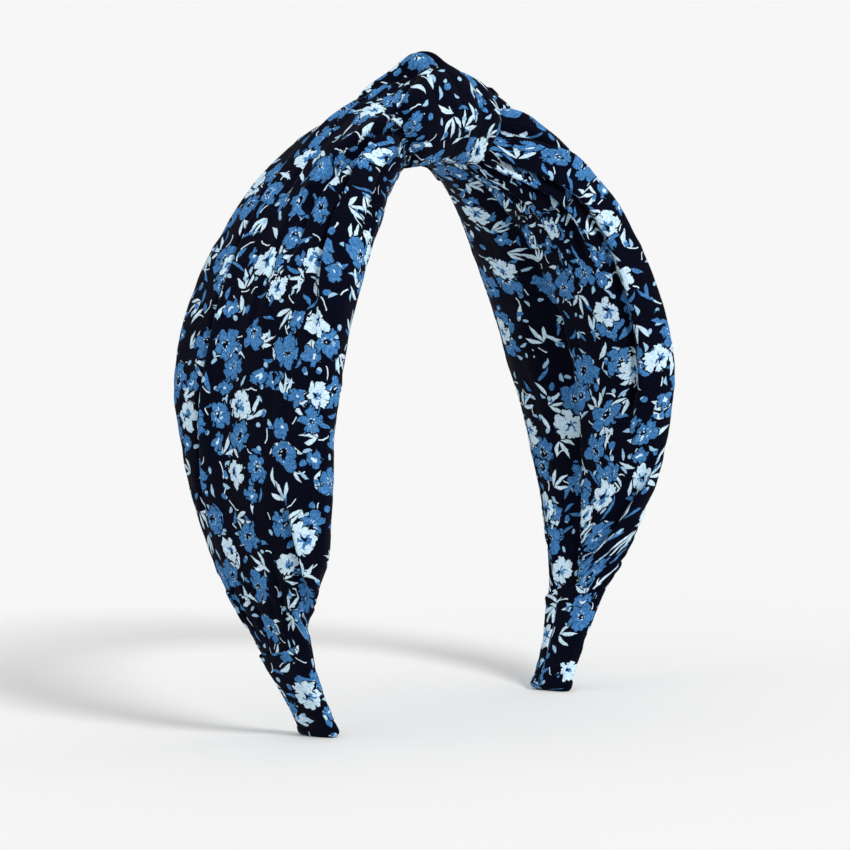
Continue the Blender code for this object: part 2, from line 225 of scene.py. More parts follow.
def route_points():
    """Points down the right arm's middle line, from the crown to the floor, in X and Z."""
    turn = np.linspace(math.pi / 2, 0, 400)
    arch = np.stack([HALF_SPAN * np.cos(turn),
                     WIDEST_HEIGHT + (CROWN_HEIGHT - WIDEST_HEIGHT) * np.sin(turn)], axis=1)
    turn = np.linspace(0, TIP_ANGLE, 120)[1:]
    bend = np.stack([HALF_SPAN - BEND_RADIUS * (1 - np.cos(turn)),
                     WIDEST_HEIGHT - BEND_RADIUS * np.sin(turn)], axis=1)
    left = bend[-1, 1]
    drop = np.linspace(0, left, 60)[1:, None]
    foot = bend[-1] - drop * np.array([math.tan(TIP_ANGLE), 1])
    return np.vstack([arch, bend, foot])


ROUTE = route_points()
ROUTE_AT = np.concatenate([[0], np.cumsum(np.linalg.norm(np.diff(ROUTE, axis=0), axis=1))])
ROUTE_LENGTH = float(ROUTE_AT[-1])
ROUTE_DOWN = np.gradient(ROUTE, ROUTE_AT, axis=0)
ROUTE_DOWN /= np.linalg.norm(ROUTE_DOWN, axis=1)[:, None]


def beside_band(side, at, y, height):
    """Points at distances from the crown, y behind the band's middle and height above its middle surface."""
    far = np.abs(at)
    sign = np.where(np.asarray(at) < 0, -1.0, 1.0)
    x = np.interp(far, ROUTE_AT, ROUTE[:, 0]) * sign
    z = np.interp(far, ROUTE_AT, ROUTE[:, 1])
    down_x = np.interp(far, ROUTE_AT, ROUTE_DOWN[:, 0])
    down_z = np.interp(far, ROUTE_AT, ROUTE_DOWN[:, 1]) * sign
    return np.stack(np.broadcast_arrays(side * (x - height * down_z), y, z + height * down_x), axis=-1)


# ---- smooth noise

def lattice(rng, cells):
    """Random values on a grid, for smooth_noise."""
    return rng.uniform(-1, 1, (cells[0] + 1, cells[1] + 1))


def smooth_noise(table, u, v):
    """Smooth noise from a table of values, for u and v from 0 to 1."""
    rows, columns = table.shape[0] - 1, table.shape[1] - 1
    a, b = np.clip(u, 0, 1) * rows, np.clip(v, 0, 1) * columns
    i, j = np.minimum(a.astype(int), rows - 1), np.minimum(b.astype(int), columns - 1)
    s, t = a - i, b - j
    s, t = s * s * (3 - 2 * s), t * t * (3 - 2 * t)
    return ((table[i, j] * (1 - s) + table[i + 1, j] * s) * (1 - t)
            + (table[i, j + 1] * (1 - s) + table[i + 1, j + 1] * s) * t)


def smoothstep(low, high, x):
    t = np.clip((x - low) / (high - low), 0, 1)
    return t * t * (3 - 2 * t)


def stretch(rises, stands, fades, gone, x):
    """From 0 up to 1 and back down to 0 over a stretch of x."""
    return smoothstep(rises, stands, x) * (1 - smoothstep(fades, gone, x))


# ---- sections

def profile(at):
    """The profile's row at a distance, by a curve through its rows that doesn't overshoot them."""
    table = np.array(CLOTH_PROFILE) * MM
    xs = table[:, 0]
    i = int(np.clip(np.searchsorted(xs, at) - 1, 0, len(xs) - 2))
    slopes = np.diff(table, axis=0) / np.diff(xs)[:, None]

    def tangent(k):
        if k in (0, len(xs) - 1):
            return np.zeros(table.shape[1])
        before, after = slopes[k - 1], slopes[k]
        same = before * after > 0
        return np.where(same, 2 * before * after / np.where(same, before + after, 1), 0)

    step = xs[i + 1] - xs[i]
    t = float(np.clip((at - xs[i]) / step, 0, 1))
    return ((2 * t**3 - 3 * t**2 + 1) * table[i] + (t**3 - 2 * t**2 + t) * step * tangent(i)
            + (3 * t**2 - 2 * t**3) * table[i + 1] + (t**3 - t**2) * step * tangent(i + 1))[1:]


def inner_height(at, y):
    """The height of the cloth's inner face at y, with the front roll's round lip and the furrow behind it."""
    front, back, _, edge, roll, flap, furrow, _ = profile(at)
    c = np.where(y < 0, -y / front, y / back)
    in_front = y < FURROW_AT
    beside = np.clip(np.abs(y - FURROW_AT) / np.where(in_front, LIP_ROUND, FLAP_ROUND), 0, 1)
    round_lip = np.sqrt(1 - (1 - beside) ** 2)
    soft_flap = beside * beside * (3 - 2 * beside)
    low = furrow + np.where(in_front, (roll - furrow) * round_lip, (flap - furrow) * soft_flap)
    power = np.where(y < 0, 3.0, 6.0)
    return edge + (low - edge) * np.sqrt(np.clip(1 - np.clip(c, 0, 1) ** power, 0, 1))


def arm_width(side, at, y):
    """y as this arm's own cloth has it."""
    table = np.array(ARM_WIDTHS)
    column = 1 if side < 0 else 3
    front, back = (np.interp(at / MM, table[:, 0], table[:, column + k]) for k in (0, 1))
    return np.where(y < 0, y * front, y * back)


def drape_outline(at, lip=2.2 * MM):
    """The drape's outline at a distance, from the furrow round the front edge and over the outer face to the
    lip that turns in behind: points, and the index of the outer face's middle."""
    front, back, top, edge, _, _, _, lean = profile(at)
    share = np.linspace(0, 1, 120)
    y = FURROW_AT - (front + FURROW_AT) * np.sin(share * math.pi / 2) ** 1.5
    y[-1] = -front
    roll = np.stack([y, inner_height(at, y)], 1)
    turn = np.linspace(0, math.pi, 241)[1:]
    half = np.where(turn < math.pi / 2, front, back)
    outer = np.stack([-half * np.cos(turn) - lean * np.sin(turn), edge + (top - edge) * np.sin(turn)], 1)
    stop = math.acos(max(0.0, 1 - lip / back))
    y = back * np.cos(np.linspace(0, stop, 24)[1:])
    behind = np.stack([y, inner_height(at, y)], 1)
    return np.vstack([roll, outer, behind]), len(roll) + 120


def spaced_outline(points, middle, columns):
    """The outline at evenly spaced columns: points, outward normals and distances from the face's middle."""
    run = np.concatenate([[0], np.cumsum(np.linalg.norm(np.diff(points, axis=0), axis=1))])
    wanted = np.linspace(0, run[-1], columns)
    even = np.stack([np.interp(wanted, run, points[:, k]) for k in (0, 1)], 1)
    along = np.gradient(even, axis=0)
    along /= np.linalg.norm(along, axis=1)[:, None]
    normal = np.stack([-along[:, 1], along[:, 0]], 1)
    return even, normal, wanted - run[middle]


# ---- meshes

def placed(name, data):
    """A new object in the scene."""
    made = bpy.data.objects.new(name, data)
    bpy.context.scene.collection.objects.link(made)
    return made


def smooth_mesh(name, vertices, faces):
    """A new mesh object, smoothly shaded."""
    mesh = bpy.data.meshes.new(name)
    mesh.from_pydata(vertices, [], faces)
    mesh.shade_smooth()
    return placed(name, mesh)


def grid_mesh(name, points, cloth_uv, closed=False):
    """A mesh over rows of points. cloth_uv holds each point's place on the flat cloth."""
    rows, columns = points.shape[:2]
    index = np.arange(rows * columns).reshape(rows, columns)
    if closed:
        index = np.hstack([index, index[:, :1]])
    quads = np.stack([index[:-1, :-1], index[1:, :-1], index[1:, 1:], index[:-1, 1:]], -1).reshape(-1, 4)
    made = smooth_mesh(name, points.reshape(-1, 3).tolist(), quads.tolist())
    layer = made.data.uv_layers.new(name="cloth")
    corner = np.empty(len(made.data.loops), int)
    made.data.loops.foreach_get("vertex_index", corner)
    layer.data.foreach_set("uv", cloth_uv.reshape(-1, 2)[corner].astype(np.float32).ravel())
    return made


# ---- the drape

def fold_line(fold, at_mm, strays):
    """Where a fold lies across the flat cloth, in mm, and how fully it stands, at a distance in mm."""
    u_from, u_to, rises, stands, fades, gone = fold[:6]
    line = u_from + (u_to - u_from) * smoothstep(stands, gone, at_mm) + FOLD_STRAYS * strays(at_mm)
    return line, stretch(rises, stands, fades, gone, at_mm)


def stray_line(table):
    """How a fold's line strays, as a function of the distance from the crown in mm."""
    return lambda at_mm: float(smooth_noise(table, np.array([at_mm / STRAY_OVER]), np.array([0.5]))[0])


def fold_height(folds, at, u, strays):
    """How far the folds lift the cloth at a distance from the crown, for places u across the flat cloth."""
    height = np.zeros_like(u)
    for fold, stray in zip(folds, strays):
        line, here = fold_line(fold, at / MM, stray)
        if here <= 0:
            continue
        depth, slope = fold[6:]
        away = (u / MM - line) * math.copysign(1, slope)
        edge = FOLD_EDGE + FOLD_SOFTER * (1 - here)
        lift = smoothstep(-edge, edge, away) * np.exp(-np.clip(away, 0, None) / abs(slope))
        dip = DIP_SHARE * np.exp(-(((away + 1.5 * edge) / DIP_WIDTH) ** 2))
        height += depth * MM * here * (lift - dip)
    return height


def print_place(folds, at, u, away, middle, gathered, strays):
    """Where the print lies across the cloth: drawn together in the front roll and towards the knot, and with
    cloth hidden in each fold, so that the print breaks off at the fold's edge."""
    share = np.linspace(0, 1, len(away))
    density = 1 + gathered * ROLL_CLOSER * (1 - smoothstep(*ROLL_SHARE, share))
    place = np.cumsum(np.gradient(away) * density * print_squeeze(at, away[-1] - away[0]))
    place = place - np.interp(middle, share, place)
    for fold, stray in zip(folds, strays):
        line, here = fold_line(fold, at / MM, stray)
        past = smoothstep(-0.5, 0.5, u / MM - line)
        hidden = HIDDEN_IN_FOLD * fold[6] * MM * here
        place = place + hidden * (past if fold[0] > 0 else past - 1)
    return place


def print_squeeze(at, length):
    """How much closer the print lies where the cloth's outline is short."""
    if at < GATHERED_TO:
        return max(1.0, SQUEEZED_BELOW / length)
    return max(1.0, DRAWN_IN_BELOW / length) ** DRAWN_IN


def lengthwise_place(points, ats):
    """How far down the cloth each point lies, measured over the surface from where the arm is widest."""
    step = np.linalg.norm(np.diff(points, axis=0), axis=2)
    run = np.vstack([np.zeros((1, points.shape[1])), np.cumsum(step, axis=0)])
    level = int(np.argmin(np.abs(ats - MEASURED_FROM)))
    return run - run[level] + ats[level]


def knot_groove(at, section, bottom, top):
    """How deep the groove beside the knot is at points of a section. The knot goes from bottom to top."""
    up = np.clip((section[:, 1] - bottom) / (top - bottom), 0, 1)
    behind_knot = np.where(section[:, 0] > 0, 1.0, 0.0)
    from_wrap = at - wrap_half_width(up, behind_knot) - GROOVE_BESIDE
    in_front = 1 - 0.7 * smoothstep(-2 * MM, 4 * MM, section[:, 0])
    return GROOVE_DEPTH * np.exp(-((from_wrap / GROOVE_WIDTH) ** 2)) * in_front


def drape_surface(side, seed, folds):
    """The gathered cloth of one arm as rows of points, and each point's place on the flat cloth."""
    rng = np.random.default_rng(seed)
    broad, lengthwise = lattice(rng, (5, 6)), lattice(rng, (13, 3))
    crumple, fine = lattice(rng, (30, 44)), lattice(rng, (70, 90))
    tables = [lattice(rng, (9, 1)) for _ in folds]
    strays = [stray_line(table) for table in tables]
    crown_heights = drape_outline(0.0)[0][:, 1]
    start, end = DRAPE_START, ROUTE_LENGTH - SLEEVE_LENGTH + TUCKED_IN
    ats = np.linspace(start, end, DRAPE_ROWS)
    points = np.empty((DRAPE_ROWS, DRAPE_COLUMNS, 3))
    smooth = np.empty_like(points)
    uv = np.empty((DRAPE_ROWS, DRAPE_COLUMNS, 2))
    column = np.linspace(0, 1, DRAPE_COLUMNS)
    # The cloth lies smooth where it starts in the furrow, and the knot's marks are on its outer side.
    past_furrow = smoothstep(0, 0.06, column)
    outside = smoothstep(0.1, 0.3, column)
    for r, at in enumerate(ats):
        outline, middle = drape_outline(at)
        even, normal, away = spaced_outline(outline, middle, DRAPE_COLUMNS)
        length = away[-1] - away[0]
        gathered = 1 - smoothstep(*GATHERS_FADE, at)
        width = length * (1 - gathered) + max(length, CLOTH_WIDTH) * gathered
        u = away * width / length
        along = np.full(DRAPE_COLUMNS, (at - start) / (end - start))
        uneven = smooth_noise(crumple, column, along)
        tip = smoothstep(*INTO_SLEEVE, at)
        free = 0.15 + 0.85 * smoothstep(*KNOT_LETS_GO, at)
        height = fold_height(folds, at, u, strays) * (1 - tip) * free
        pleats = np.abs(np.cos(math.pi * u / PLEAT_PITCH + 1.5 * uneven)) ** 0.6 - 0.7
        height += PLEAT_DEPTH * pleats * (1 - smoothstep(*PLEATS_FADE, at))
        height -= knot_groove(at, even, crown_heights.min(), crown_heights.max()) * outside
        if side > 0:
            height += SHOULDER * stretch(*SHOULDER_STRETCH, at) * outside
        slack = (BROAD_SLACK * smooth_noise(broad, column, along)
                 + LONG_SLACK * smooth_noise(lengthwise, column, along))
        height += slack * stretch(*DRAPE_SLACK, at)
        tip_gathers = np.cos(2 * math.pi * u / TIP_GATHER_PITCH + 4 * uneven)
        height += TIP_GATHER_DEPTH * tip_gathers * smoothstep(*INTO_GATHERS, at) * (1 - tip)
        height += (CRUMPLE * uneven + FINE_CRUMPLE * smooth_noise(fine, column, along)) * (1 - 0.6 * tip)
        height *= past_furrow
        section = even + normal * height[:, None]
        points[r] = beside_band(side, at, arm_width(side, at, section[:, 0]), section[:, 1])
        smooth[r] = beside_band(side, at, arm_width(side, at, even[:, 0]), even[:, 1])
        uv[r, :, 0] = side * print_place(folds, at, u, away, -away[0] / length, gathered, strays)
    uv[:, :, 1] = lengthwise_place(smooth, ats)
    return points, uv


def cloth_origin(side):
    """Where one arm's cloth was cut from the print, so that the arms differ."""
    return np.array([0.304 + 0.2 * side, 0.131])


def build_drape(label, side, seed, folds):
    points, uv = drape_surface(side, seed, folds)
    return grid_mesh(f"drape_cloth_{label}", points, uv + cloth_origin(side))


# ---- the facing

def build_facing(label, side, seed):
    """The flat cloth on the inner face, from under the knot to the sleeve."""
    rng = np.random.default_rng(seed)
    waves, lengthwise, fine = lattice(rng, (5, 20)), lattice(rng, (7, 4)), lattice(rng, (24, 90))
    rows, columns = 220, 90
    ats = np.linspace(0.0, ROUTE_LENGTH - SLEEVE_LENGTH + TUCKED_IN, rows)
    share = np.linspace(0, 1, columns)
    points = np.empty((rows, columns, 3))
    uv = np.empty((rows, columns, 2))
    for r, at in enumerate(ats):
        back = profile(at)[1]
        first, last = FURROW_AT - FACING_UNDER_LIP, back - FACING_INSET
        y = first + share * (last - first)
        fold_at = back - FACING_TURN
        turned_in = FACING_TURN_DEPTH * smoothstep(fold_at, last, y)
        height = inner_height(at, np.clip(y, FURROW_AT, fold_at)) + FACING_PROUD + turned_in
        spot = np.full(columns, r / (rows - 1))
        slack = (0.45 * MM * smooth_noise(waves, share, spot)
                 + LONG_SLACK * smooth_noise(lengthwise, share, spot))
        height = height + slack * stretch(*FACING_SLACK, at) + 0.07 * MM * smooth_noise(fine, share, spot)
        points[r] = beside_band(side, at, arm_width(side, at, y), height)
        uv[r] = np.stack([y * side, np.full(columns, at)], 1)
    return grid_mesh(f"facing_cloth_{label}", points, uv + np.array([0.9 + 0.2 * side, 0.35]))


# ---- the tip sleeve

def sleeve_section(share, turn):
    """The sleeve's outline at a share of its length: places across, heights and outward directions."""
    c, s = np.cos(turn - SLEEVE_LAP_AT), np.sin(turn - SLEEVE_LAP_AT)
    front, back, top, _, roll, _, _, _ = profile(ROUTE_LENGTH - SLEEVE_LENGTH * (1 - share))
    flare = 1 + 0.13 * smoothstep(0.80, 0.97, share)
    past = max(0.0, (share - SLEEVE_ROUND_FROM) / (1 - SLEEVE_ROUND_FROM))
    round_end = math.sqrt(max(0.0, 1 - past**2))
    hem = SLEEVE_HEM_DEPTH * math.exp(-(((share - SLEEVE_HEM_AT) / 0.012) ** 2))
    proud = SLEEVE_PROUD - hem + 0.06 * MM * (1 - smoothstep(0, 0.05, share))
    wide = (np.where(c > 0, back, front) * flare + proud) * (0.6 + 0.4 * round_end)
    thick = (np.where(s > 0, top, -roll) + proud) * (0.45 + 0.55 * round_end)
    return wide * np.sign(c) * np.abs(c) ** 0.8, thick * np.sign(s) * np.abs(s) ** 0.7, c, s


def build_sleeve(label, side, seed):
    """The cloth wrapped round a tip, with a slanting mouth, a lap down the inner face and a turned hem."""
    rng = np.random.default_rng(seed)
    waves, fine = lattice(rng, (9, 12)), lattice(rng, (40, 50))
    columns, rows = 140, 110
    # The turn starts at the lap, on the inner face behind the middle.
    turn = np.linspace(0, 2 * math.pi, columns, endpoint=False)
    points = np.empty((rows, columns, 3))
    uv = np.empty((rows, columns, 2))
    for r in range(rows):
        share = r / (rows - 1)
        y, height, c, s = sleeve_section(share, turn)
        slant = (2.6 * c - 1.2 * np.clip(-s, 0, 1)) * MM
        at = (ROUTE_LENGTH - SLEEVE_LENGTH + slant) * (1 - share) + ROUTE_LENGTH * share
        # The lap's edge stands proud of the cloth under it.
        lap = SLEEVE_LAP * np.exp(-turn / 0.5) * (1 - 0.4 * share) * smoothstep(0, 0.05, turn)
        spot = turn / (2 * math.pi), np.full(columns, share)
        out = lap + 0.2 * MM * smooth_noise(waves, *spot) + 0.05 * MM * smooth_noise(fine, *spot)
        y, height = y + out * c, height + out * s
        points[r] = beside_band(side, at, y, height)
        run = np.concatenate([[0], np.cumsum(np.hypot(np.diff(y), np.diff(height)))])
        run -= run[int(np.argmax(s))]
        uv[r] = np.stack([-run * side, at], 1)
    points[:, :, 2] = np.maximum(points[:, :, 2], 0.0)
    return grid_mesh(f"tip_cloth_{label}", points, uv + cloth_origin(side), closed=True)


# ---- stitches

def stitch(points, radius):
    """One stitch through points, as rings of a thread that thins at its ends."""
    sides = 8
    points = np.array(points)
    along = np.gradient(points, axis=0)
    along /= np.linalg.norm(along, axis=1)[:, None]
    across = np.cross(along, (0.0, 1.0, 0.02))
    across /= np.linalg.norm(across, axis=1)[:, None]
    beyond = np.cross(along, across)
    share = np.linspace(-1, 1, len(points))
    thick = radius * np.sqrt(1 - 0.94 * share**4)
    turn = np.linspace(0, 2 * math.pi, sides, endpoint=False)[None, :, None]
    ring = across[:, None] * np.cos(turn) + beyond[:, None] * np.sin(turn)
    rings = points[:, None] + thick[:, None, None] * ring
    faces = []
    for start in range(0, (len(points) - 1) * sides, sides):
        for j in range(sides):
            beside = start + (j + 1) % sides
            faces.append((start + j, beside, beside + sides, start + j + sides))
    last = (len(points) - 1) * sides
    faces += [tuple(range(sides - 1, -1, -1)), tuple(range(last, last + sides))]
    return rings.reshape(-1, 3), faces


def stitched_mesh(name, stitches):
    """One object of several stitches."""
    vertices, faces = [], []
    for rings, stitch_faces in stitches:
        start = len(vertices)
        vertices += rings.tolist()
        faces += [tuple(start + i for i in face) for face in stitch_faces]
    return smooth_mesh(name, vertices, faces)


def build_seam(label, side):
    """The stitches in the furrow, each a short length of thread with its ends drawn into the cloth."""
    first, last = 33 * MM, ROUTE_LENGTH - SLEEVE_LENGTH - 4 * MM
    pitch, length = 3.0 * MM, 2.5 * MM
    stitches = []
    for k in range(int((last - first) / pitch)):
        share = np.linspace(-1, 1, 7)
        at = first + k * pitch + (share + 1) / 2 * length
        points = [beside_band(side, a, SEAM_AT, profile(a)[6] + 0.05 * MM + 0.30 * MM * t * t)
                  for a, t in zip(at, share)]
        stitches.append(stitch(points, 0.24 * MM))
    return stitched_mesh(f"seam_stitches_{label}", stitches)


def build_tack(label, y):
    """Three short stitches side by side that close the wrap under the knot."""
    outline = bundle_section(0.0, np.linspace(-math.pi / 2, 1.5 * math.pi, 300))
    underside = np.array(sorted(outline[outline[:, 1] < 0].tolist()))
    height = float(np.interp(y, underside[:, 0], underside[:, 1])) - TACK_BELOW
    stitches = []
    for k in (-1, 0, 1):
        share = np.linspace(-1, 1, 9)
        at = share * 1.8 * MM + 0.3 * MM * k
        points = [beside_band(1, a, y + 0.9 * MM * k, height + 0.55 * MM * t * t) for a, t in zip(at, share)]
        stitches.append(stitch(points, 0.22 * MM))
    return stitched_mesh(f"knot_stitches_{label}", stitches)


# ---- the knot

def bundle_section(at, turns):
    """The bunched ends' outline under the knot at a distance from the crown."""
    front, back, top, edge, roll, _, _, lean = profile(abs(at))
    c, s = np.cos(turns), np.sin(turns)
    y = -np.where(c > 0, front, back) * c - lean * np.clip(s, 0, 1)
    low = edge + (roll - edge) * np.sqrt(np.clip(1 - c**6, 0, 1))
    return np.stack([y, np.where(s >= 0, edge + (top - edge) * s, low)], 1)


def on_bundle(sections, k, at):
    """Points on the bunched ends at one turn and at distances from the crown, with outward normals."""
    place = np.clip(np.abs(at) / WRAP_FARTHEST, 0, 1) * (len(sections) - 1)
    i = np.minimum(place.astype(int), len(sections) - 2)
    t = (place - i)[:, None]
    base = sections[i, k] * (1 - t) + sections[i + 1, k] * t
    along = sections[i, (k + 1) % sections.shape[1]] - sections[i, k - 1]
    along = along / np.linalg.norm(along, axis=1)[:, None]
    return base, np.stack([-along[:, 1], along[:, 0]], 1)


def wrap_half_width(up, behind_knot):
    """Half the wrap's width, from under the knot, up 0, to its gathered top, up 1."""
    broad = 12.0 + 2.2 * smoothstep(0.0, 0.35, up) - 1.4 * smoothstep(0.5, 0.85, up) - 2.0 * behind_knot
    return broad * (1 - 0.76 * smoothstep(*WRAP_GATHERS, up)) * MM


def build_wrap():
    """The cloth tied round the bunched ends: broad in front, gathered to a point on top."""
    rng = np.random.default_rng(41)
    waves, fine = lattice(rng, (7, 9)), lattice(rng, (40, 60))
    around, across = 300, 150
    turns = np.linspace(-math.pi / 2, 1.5 * math.pi, around)
    sections = np.stack([bundle_section(at, turns) for at in np.linspace(0, WRAP_FARTHEST, 18)])
    middle = sections[0]
    run = np.concatenate([[0], np.cumsum(np.linalg.norm(np.diff(middle, axis=0), axis=1))])
    low, high = middle[:, 1].min(), middle[:, 1].max()
    up = (middle[:, 1] - low) / (high - low)
    gather = smoothstep(*WRAP_GATHERS, up)
    in_front = smoothstep(0.2, 0.9, np.cos(turns))
    behind_knot = smoothstep(0.0, 0.8, -np.cos(turns))
    half = wrap_half_width(up, behind_knot)
    fuller_up = 3.3 * smoothstep(0.0, 0.5, up)
    thick = (0.2 + fuller_up + 1.4 * in_front - 1.4 * gather - 1.2 * behind_knot) * MM
    share = np.linspace(-WRAP_PAST_EDGE, WRAP_PAST_EDGE, across)
    noise_share = (share + WRAP_PAST_EDGE) / (2 * WRAP_PAST_EDGE)
    inside = np.clip(1 - np.clip(np.abs(share), 0, 1) ** 2.6, 0, 1) ** 0.5
    tucked = np.clip(np.abs(share) - 1, 0, 1) / (WRAP_PAST_EDGE - 1)
    points = np.empty((around, across, 3))
    for k in range(around):
        slant = (1.6 * in_front[k] * (1 - up[k]) + 1.8 * gather[k] * np.cos(turns[k])) * MM
        at = slant + share * half[k]
        base, normal = on_bundle(sections, k, at)
        # Soft creases that run down from the gathered top, and the peak itself.
        reach = math.exp(-(1 - up[k]) * 2.2)
        creases = sum(depth * np.exp(-np.abs(share - line) / 0.06) for line, depth in WRAP_CREASES)
        full = thick[k] - reach * MM * creases + 1.6 * MM * gather[k] ** 6
        spot = np.full(across, k / (around - 1))
        uneven = (0.5 * MM * smooth_noise(waves, noise_share, spot)
                  + 0.05 * MM * smooth_noise(fine, noise_share, spot))
        bulge = (0.4 * MM + (full + uneven) * inside - WRAP_TUCK * tucked)[:, None]
        section = base + normal * bulge
        points[k] = beside_band(1, at, section[:, 0], section[:, 1])
    over = np.linalg.norm(np.diff(points, axis=1), axis=2)
    over = np.hstack([np.zeros((around, 1)), np.cumsum(over, axis=1)])
    over -= over[:, across // 2, None]
    uv = np.stack([over, np.broadcast_to(run[:, None] * WRAP_LONGER_BY, over.shape)], axis=-1)
    return grid_mesh("knot_cloth", points, uv + np.array([2.31, 1.17]))


# ---- shader nodes

class Nodes:
    """Short ways to add shader nodes to a material and link them."""

    def __init__(self, material):
        self.tree = material.node_tree
        self.nodes = self.tree.nodes

    def plug(self, socket, value):
        if isinstance(value, bpy.types.NodeSocket):
            self.tree.links.new(value, socket)
        elif value is not None:
            socket.default_value = value

    def made(self, kind, inputs, **settings):
        """A new node with its settings, and its inputs by name or number."""
        node = self.nodes.new("ShaderNode" + kind)
        for name, value in settings.items():
            setattr(node, name, value)
        for socket, value in inputs.items():
            self.plug(node.inputs[socket], value)
        return node

    def math(self, operation, a, b=None, c=None, clamp=False):
        return self.made("Math", {0: a, 1: b, 2: c}, operation=operation, use_clamp=clamp).outputs[0]

    def add(self, a, b):
        return self.math("ADD", a, b)

    def sub(self, a, b):
        return self.math("SUBTRACT", a, b)

    def mul(self, a, b):
        return self.math("MULTIPLY", a, b)

    def scaled(self, value, by, plus, clamp=False):
        return self.math("MULTIPLY_ADD", value, by, plus, clamp)

    def absolute(self, a):
        return self.math("ABSOLUTE", a)

    def most(self, a, b):
        return self.math("MAXIMUM", a, b)

    def above(self, a, b):
        return self.math("GREATER_THAN", a, b)

    def length(self, a, b):
        return self.math("SQRT", self.math("MULTIPLY_ADD", a, a, self.mul(b, b)))

    def turned(self, x, y, angle):
        """A place, turned about the origin."""
        cos, sin = self.math("COSINE", angle), self.math("SINE", angle)
        return self.add(self.mul(x, cos), self.mul(y, sin)), self.sub(self.mul(y, cos), self.mul(x, sin))

    def inside(self, distance):
        """1 where a distance in mm is below zero and 0 where it is above, with a narrow ramp between."""
        return self.scaled(distance, -0.5 / INK_EDGE_MM, 0.5, clamp=True)

    def combine(self, x, y):
        return self.made("CombineXYZ", {0: x, 1: y}).outputs[0]

    def split(self, vector):
        return tuple(self.made("SeparateXYZ", {0: vector}).outputs)

    def vector(self, operation, a, b):
        return self.made("VectorMath", {0: a, 1: b}, operation=operation).outputs[0]

    def scale(self, vector, by):
        return self.made("VectorMath", {0: vector, "Scale": by}, operation="SCALE").outputs[0]

    def noise(self, place, scale, detail=2.0, roughness=0.5, dimensions="2D"):
        inputs = {"Vector": place, "Scale": scale, "Detail": detail, "Roughness": roughness}
        return self.made("TexNoise", inputs, noise_dimensions=dimensions).outputs["Fac"]

    def patches(self, place, scale, detail, roughness, gain, start):
        """Soft patches: noise that is stretched by a gain from a start, and kept from 0 to 1."""
        return self.scaled(self.noise(place, scale, detail, roughness), gain, start, clamp=True)

    def drift(self, place, scale):
        """A vector of noise about zero."""
        noise = self.noise(place, scale, 1.0).node
        return self.vector("SUBTRACT", noise.outputs["Color"], (0.5, 0.5, 0.5))

    def mix(self, factor, a, b):
        return self.made("Mix", {0: factor, 6: a, 7: b}, data_type="RGBA").outputs[2]

    def bump(self, height, strength, distance):
        return self.made("Bump", {"Height": height, "Strength": strength, "Distance": distance}).outputs[0]

    def cell_node(self, place_mm, strewn, feature):
        """The cells of one kind of motif, and the place that they are read at."""
        pitch_mm, offset, randomness = strewn
        moved = self.vector("ADD", place_mm, (offset, 0.7 * offset, 0.0))
        inputs = {"Vector": moved, "Scale": 1 / pitch_mm, "Randomness": randomness}
        return self.made("TexVoronoi", inputs, voronoi_dimensions="2D", feature=feature), moved

    def cells(self, place_mm, strewn):
        """The repeats of one motif: each point's place about its own motif, and three random numbers."""
        node, moved = self.cell_node(place_mm, strewn, "F1")
        local = self.vector("SUBTRACT", moved, node.outputs["Position"])
        rand = self.split(node.outputs["Color"])
        x, y, _ = self.split(local)
        x, y = self.turned(x, y, self.mul(rand[0], 2 * math.pi))
        return x, y, rand

    def apart(self, distance, place_mm, strewn, gap_mm):
        """A motif's distance, kept clear of the next one of its kind by a gap."""
        node, _ = self.cell_node(place_mm, strewn, "DISTANCE_TO_EDGE")
        return self.most(distance, self.scaled(node.outputs["Distance"], -strewn[0], gap_mm))

    def paint(self, distance, colour, ink):
        """The colour, with an ink over it inside a motif."""
        return self.mix(self.inside(distance), colour, ink)

    def some(self, distance, random, share):
        """A motif's distance where its random number is below a share, and far from it elsewhere."""
        return self.add(distance, self.mul(self.above(random, share), FAR_MM))


def new_material(name):
    """A material, its nodes and its shader."""
    material = bpy.data.materials.new(name)
    material.use_nodes = True
    n = Nodes(material)
    return material, n, n.nodes["Principled BSDF"]


def linear(red, green, blue):
    """A colour written as it looks on a screen, as the numbers a shader takes."""
    def one(value):
        value = value / 255
        return value / 12.92 if value <= 0.04045 else ((value + 0.055) / 1.055) ** 2.4
    return one(red), one(green), one(blue), 1.0


# ---- the printed cotton

GROUND = linear(2, 4, 19)
GROUND_WORN = linear(19, 20, 38)
BLUE = linear(76, 136, 190)
DEEP_BLUE = linear(40, 90, 146)
PALE = linear(150, 190, 219)
LIGHT = linear(208, 231, 243)

# How softly the ink ends, the clear ground round a flower, and a distance past every motif, in mm.
INK_EDGE_MM = 0.05
CLEAR_MM = 0.5
FAR_MM = 9.0

# How each kind of motif is strewn: its pitch in mm, an offset from the others, and how uneven its places are.
SPRIGS = (10.5, 31.0, 0.7)
SHORT_LEAVES = (5.6, 57.0, 0.6)
LONG_LEAVES = (8.0, 43.0, 0.6)
STEMS = (8.4, 83.0, 0.9)
BUDS = (5.4, 11.0, 0.8)
SMALL_FLOWERS = (9.8, 71.0, 0.8)
BLUE_FLOWERS = (12.2, 5.0, 0.75)
PALE_FLOWERS = (23.0, 19.0, 0.85)

# Two drifts of the print, by scale per mm, and how far each moves the leaves and the flowers, in mm.
DRIFT_SCALES = (0.30, 1.15)
LEAVES_DRIFT = (0.9, 0.22)
FLOWERS_DRIFT = (2.8, 0.95)

